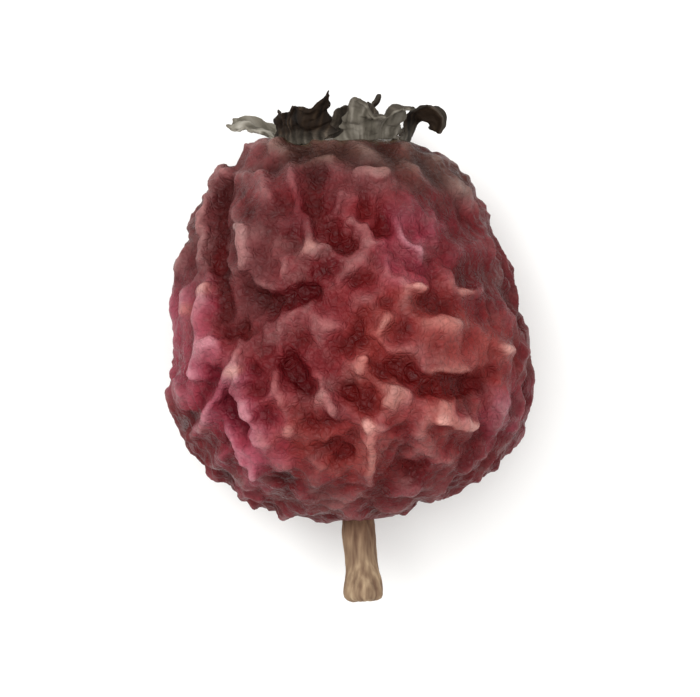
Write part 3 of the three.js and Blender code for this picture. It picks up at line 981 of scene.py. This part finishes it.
def dried_haw_skin():
    """Dried haw skin, waxy and leathery: maroon, darker in the hollows and lighter, to rose, on the crests,
    which is painted shade and painted light that follow its relief.

    The wax gives it a soft gloss. It is brick in patches, rosier in others, and greys near the sepals. The
    rosier band down its left side is painted light, the flanks and dark patches by its edges are painted
    shade, and small pale spots are painted highlights.
    """
    material, tree, shader = new_material("dried_haw_skin", IOR=1.45, Specular_IOR_Level=0.14)
    place = place_in_millimetres(tree)
    # The colour's level follows the relief: painted shade in the hollows, deepened further in the main
    # hollows, and painted light on the crests.
    relief = add(tree, "ShaderNodeAttribute", attribute_name="relief")
    hollow = add(tree, "ShaderNodeAttribute", attribute_name="hollow")
    share = add(
        tree,
        "ShaderNodeMapRange",
        {"Value": relief.outputs["Fac"], "From Min": RELIEF_RANGE[0], "From Max": RELIEF_RANGE[1]},
    )
    level = add(
        tree,
        "ShaderNodeMath",
        {0: hollow.outputs["Fac"], 1: -HOLLOW_SHADE, 2: share},
        operation="MULTIPLY_ADD",
    )
    colour = add(tree, "ShaderNodeValToRGB", {"Fac": level}, stops=[*zip(TINT_LEVELS, MAROON)])
    # Each tint over it: among them the flanks' painted shade, the darker patches of painted shade, the
    # painted light down the left side and the painted highlights of the pale spots.
    for mark, strength, colours in TINTS:
        near = add(tree, "ShaderNodeAttribute", attribute_name=mark)
        strong = add(tree, "ShaderNodeMath", {0: near.outputs["Fac"], 1: strength}, operation="MULTIPLY")
        tinted = add(tree, "ShaderNodeValToRGB", {"Fac": level}, stops=[*zip(TINT_LEVELS, colours)])
        colour = add(tree, "ShaderNodeMix", {"Factor": strong, "A": colour, "B": tinted}, data_type="RGBA")

    # It dried unevenly, darker and lighter in blotches, and fine flecks lie all over it.
    blotches = add(
        tree,
        "ShaderNodeTexNoise",
        {"Vector": place, "Scale": 1 / BLOTCH_SIZE, "Detail": 4.0, "Roughness": 0.65},
    )
    flecks = add(tree, "ShaderNodeTexNoise", {"Vector": place, "Scale": 1 / FLECK_SIZE, "Detail": 2.0})
    shade = add(
        tree,
        "ShaderNodeMapRange",
        {"Value": blotches, "From Min": 0.3, "From Max": 0.7, "To Min": 0.66, "To Max": 1.08},
    )
    fleck = add(
        tree,
        "ShaderNodeMapRange",
        {"Value": flecks, "From Min": 0.3, "From Max": 0.7, "To Min": 0.87, "To Max": 1.13},
    )
    uneven = add(tree, "ShaderNodeMath", {0: shade, 1: fleck}, operation="MULTIPLY")
    mottled = add(tree, "ShaderNodeVectorMath", {0: colour, "Scale": uneven}, operation="SCALE")

    # Bloom: a thin grey dust that was left on the crests in patches, and hides 0.4 of the skin at most.
    dust_patches = add(
        tree,
        "ShaderNodeTexNoise",
        {"Vector": place, "Scale": 1 / BLOOM_SIZE, "Detail": 5.0, "Roughness": 0.7},
    )
    dust_there = add(tree, "ShaderNodeMapRange", {"Value": dust_patches, "From Min": 0.5, "From Max": 0.75})
    dust = add(tree, "ShaderNodeMath", {0: dust_there, 1: level}, operation="MULTIPLY")
    bloom = add(tree, "ShaderNodeMath", {0: dust, 1: 0.4}, operation="MULTIPLY")
    bloomed = add(
        tree, "ShaderNodeMix", {"Factor": bloom, "A": mottled, "B": linear("#a08882")}, data_type="RGBA"
    )

    # The rim is dry, brown to tan, with a ragged edge, and the cup inside it is dark brown.
    from_crown = add(tree, "ShaderNodeAttribute", attribute_name="from crown")
    torn = add(
        tree, "ShaderNodeMath", {0: flecks, 1: 0.35, 2: from_crown.outputs["Fac"]}, operation="MULTIPLY_ADD"
    )
    ragged = add(tree, "ShaderNodeMath", {0: blotches, 1: 0.7, 2: torn}, operation="MULTIPLY_ADD")
    in_crown = add(
        tree,
        "ShaderNodeMapRange",
        {"Value": ragged, "From Min": RIM_EDGE[0], "From Max": RIM_EDGE[1]},
        interpolation_type="SMOOTHSTEP",
    )
    rim = add(tree, "ShaderNodeValToRGB", {"Fac": blotches}, stops=[(0.3, "#33291d"), (0.7, "#786850")])
    rimmed = add(tree, "ShaderNodeMix", {"Factor": in_crown, "A": bloomed, "B": rim}, data_type="RGBA")
    from_axis = add(tree, "ShaderNodeAttribute", attribute_name="from axis")
    ragged_axis = add(
        tree, "ShaderNodeMath", {0: blotches, 1: 0.5, 2: from_axis.outputs["Fac"]}, operation="MULTIPLY_ADD"
    )
    in_cup = add(
        tree,
        "ShaderNodeMapRange",
        {"Value": ragged_axis, "From Min": CUP_EDGE[0], "From Max": CUP_EDGE[1]},
        interpolation_type="SMOOTHSTEP",
    )
    cup = add(tree, "ShaderNodeValToRGB", {"Fac": flecks}, stops=[(0.3, "#15100a"), (0.7, "#3d3020")])
    cupped = add(tree, "ShaderNodeMix", {"Factor": in_cup, "A": rimmed, "B": cup}, data_type="RGBA")
    tree.links.new(cupped.outputs["Result"], shader.inputs["Base Color"])

    # A crackle finer than the mesh, in lines that wander.
    drift = add(tree, "ShaderNodeTexNoise", {"Vector": place, "Scale": 1 / (2 * CRACKLE_SIZE), "Detail": 2.0})
    drifted = add(
        tree,
        "ShaderNodeVectorMath",
        {0: drift.outputs["Color"], 1: (0.25, 0.25, 0.25), 2: place},
        operation="MULTIPLY_ADD",
    )
    crackle = add(
        tree,
        "ShaderNodeTexVoronoi",
        {"Vector": drifted, "Scale": 1 / CRACKLE_SIZE},
        feature="DISTANCE_TO_EDGE",
    )
    creased = add(tree, "ShaderNodeMapRange", {"Value": crackle, "From Max": 0.25})
    grainy = add(tree, "ShaderNodeMath", {0: flecks, 1: 0.8, 2: creased}, operation="MULTIPLY_ADD")
    bump = add(tree, "ShaderNodeBump", {"Height": grainy, "Strength": 0.75, "Distance": CRACKLE_DEPTH * MM})
    tree.links.new(bump.outputs["Normal"], shader.inputs["Normal"])

    # Its wax is duller in the lighter blotches.
    gloss = add(
        tree,
        "ShaderNodeMapRange",
        {"Value": blotches, "From Min": 0.35, "From Max": 0.65, "To Min": 0.36, "To Max": 0.6},
    )
    tree.links.new(gloss.outputs["Result"], shader.inputs["Roughness"])
    return material


def dried_sepal():
    """Dried sepal: brittle leaf, near black inside and on the curled ones, and dusty olive grey outside."""
    material, tree, shader = new_material("dried_sepal", Roughness=0.75, Specular_IOR_Level=0.1)
    fibre, dust, inner_dust, front = (
        add(tree, "ShaderNodeAttribute", attribute_name=name)
        for name in ("fibre", "dust", "inner dust", "front")
    )
    surface = add(tree, "ShaderNodeNewGeometry")
    facing = add(
        tree,
        "ShaderNodeVectorMath",
        {0: surface.outputs["Normal"], 1: front.outputs["Vector"]},
        operation="DOT_PRODUCT",
    )
    outside = add(
        tree, "ShaderNodeMapRange", {"Value": facing.outputs["Value"], "From Min": -0.3, "From Max": 0.3}
    )
    amount = add(
        tree,
        "ShaderNodeMix",
        {"Factor": outside, "A": inner_dust.outputs["Fac"], "B": dust.outputs["Fac"]},
        data_type="FLOAT",
    )
    bare = add(
        tree,
        "ShaderNodeValToRGB",
        {"Fac": fibre.outputs["Fac"]},
        stops=[(0.35, "#0e0906"), (0.55, "#231911"), (0.75, "#4a3c2e")],
    )
    dusty = add(
        tree,
        "ShaderNodeValToRGB",
        {"Fac": fibre.outputs["Fac"]},
        stops=[(0.3, "#4a443a"), (0.5, "#7b7569"), (0.75, "#aba69b")],
    )
    mixed = add(tree, "ShaderNodeMix", {"Factor": amount, "A": bare, "B": dusty}, data_type="RGBA")
    tree.links.new(mixed.outputs["Result"], shader.inputs["Base Color"])
    return material


def dry_stem_bark():
    """Dry thin bark on a stem: fibrous beige with darker strands along it, and browner near the fruit."""
    material, tree, shader = new_material("dry_stem_bark", Roughness=0.8, Specular_IOR_Level=0.2)
    fibre = add(tree, "ShaderNodeAttribute", attribute_name="fibre")
    fruit_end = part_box("fruit")[0].y / MM
    along = add(tree, "ShaderNodeSeparateXYZ", {0: place_in_millimetres(tree)})
    near_fruit = add(
        tree,
        "ShaderNodeMapRange",
        {"Value": along.outputs["Y"], "From Min": fruit_end - 0.9, "From Max": fruit_end + 0.1},
        interpolation_type="SMOOTHSTEP",
    )
    pale = add(
        tree,
        "ShaderNodeValToRGB",
        {"Fac": fibre.outputs["Fac"]},
        stops=[(0.3, "#664e3d"), (0.5, "#89725a"), (0.68, "#a68f73")],
    )
    brown = add(
        tree, "ShaderNodeValToRGB", {"Fac": fibre.outputs["Fac"]}, stops=[(0.3, "#4c3024"), (0.7, "#80604a")]
    )
    mixed = add(tree, "ShaderNodeMix", {"Factor": near_fruit, "A": pale, "B": brown}, data_type="RGBA")
    tree.links.new(mixed.outputs["Result"], shader.inputs["Base Color"])
    return material


def dried_style():
    """Dried style: a dark brown woody thread, with lighter strands along it."""
    material, tree, shader = new_material("dried_style", Roughness=0.8, Specular_IOR_Level=0.1)
    fibre = add(tree, "ShaderNodeAttribute", attribute_name="fibre")
    brown = add(
        tree,
        "ShaderNodeValToRGB",
        {"Fac": fibre.outputs["Fac"]},
        stops=[(0.35, "#1c140d"), (0.55, "#3a2c1e"), (0.75, "#66533d")],
    )
    tree.links.new(brown.outputs["Color"], shader.inputs["Base Color"])
    return material


def matt_white_paper():
    """Matt white paper: it takes a soft shadow and shows no highlight."""
    return new_material("matt_white_paper", Base_Color=linear("#f8f8f6"), Roughness=0.9)[0]


# ---- stage, light and camera ----


def white_ground():
    """The white paper that the berry lies on."""
    bpy.ops.mesh.primitive_plane_add(size=GROUND_SIZE)
    ground = bpy.context.object
    ground.name = "ground"
    ground.data.materials.append(matt_white_paper())
    ground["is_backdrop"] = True


def lamp(name, place, size, power):
    """A soft round lamp that shines at the berry."""
    data = bpy.data.lights.new(name, "AREA")
    data.shape = "DISK"
    data.size = size
    data.energy = power
    light = bpy.data.objects.new(name, data)
    light.location = place
    light.rotation_euler = (-Vector(place)).to_track_quat("-Z", "Y").to_euler()
    bpy.context.scene.collection.objects.link(light)


def light_tent():
    """Even white light from all round, and the lamps."""
    scene = bpy.context.scene
    scene.view_settings.view_transform = "Standard"
    world = bpy.data.worlds.new("tent")
    world.use_nodes = True
    background = world.node_tree.nodes["Background"]
    background.inputs["Color"].default_value = (1, 1, 1, 1)
    background.inputs["Strength"].default_value = TENT_BRIGHTNESS
    scene.world = world
    for settings in LAMPS:
        lamp(*settings)


def camera():
    """Looks straight down at the middle of the berry."""
    low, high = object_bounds()
    centre = (low + high) / 2
    data = bpy.data.cameras.new("camera")
    data.lens = LENS_LENGTH
    data.clip_start = NEAREST_SEEN
    view = bpy.data.objects.new("camera", data)
    view.location = (centre.x, centre.y, high.z + SEEN_WIDTH * data.lens / data.sensor_width)
    bpy.context.scene.collection.objects.link(view)
    bpy.context.scene.camera = view


camera()
light_tent()
white_ground()
fruit()
sepals()
stem()
style()
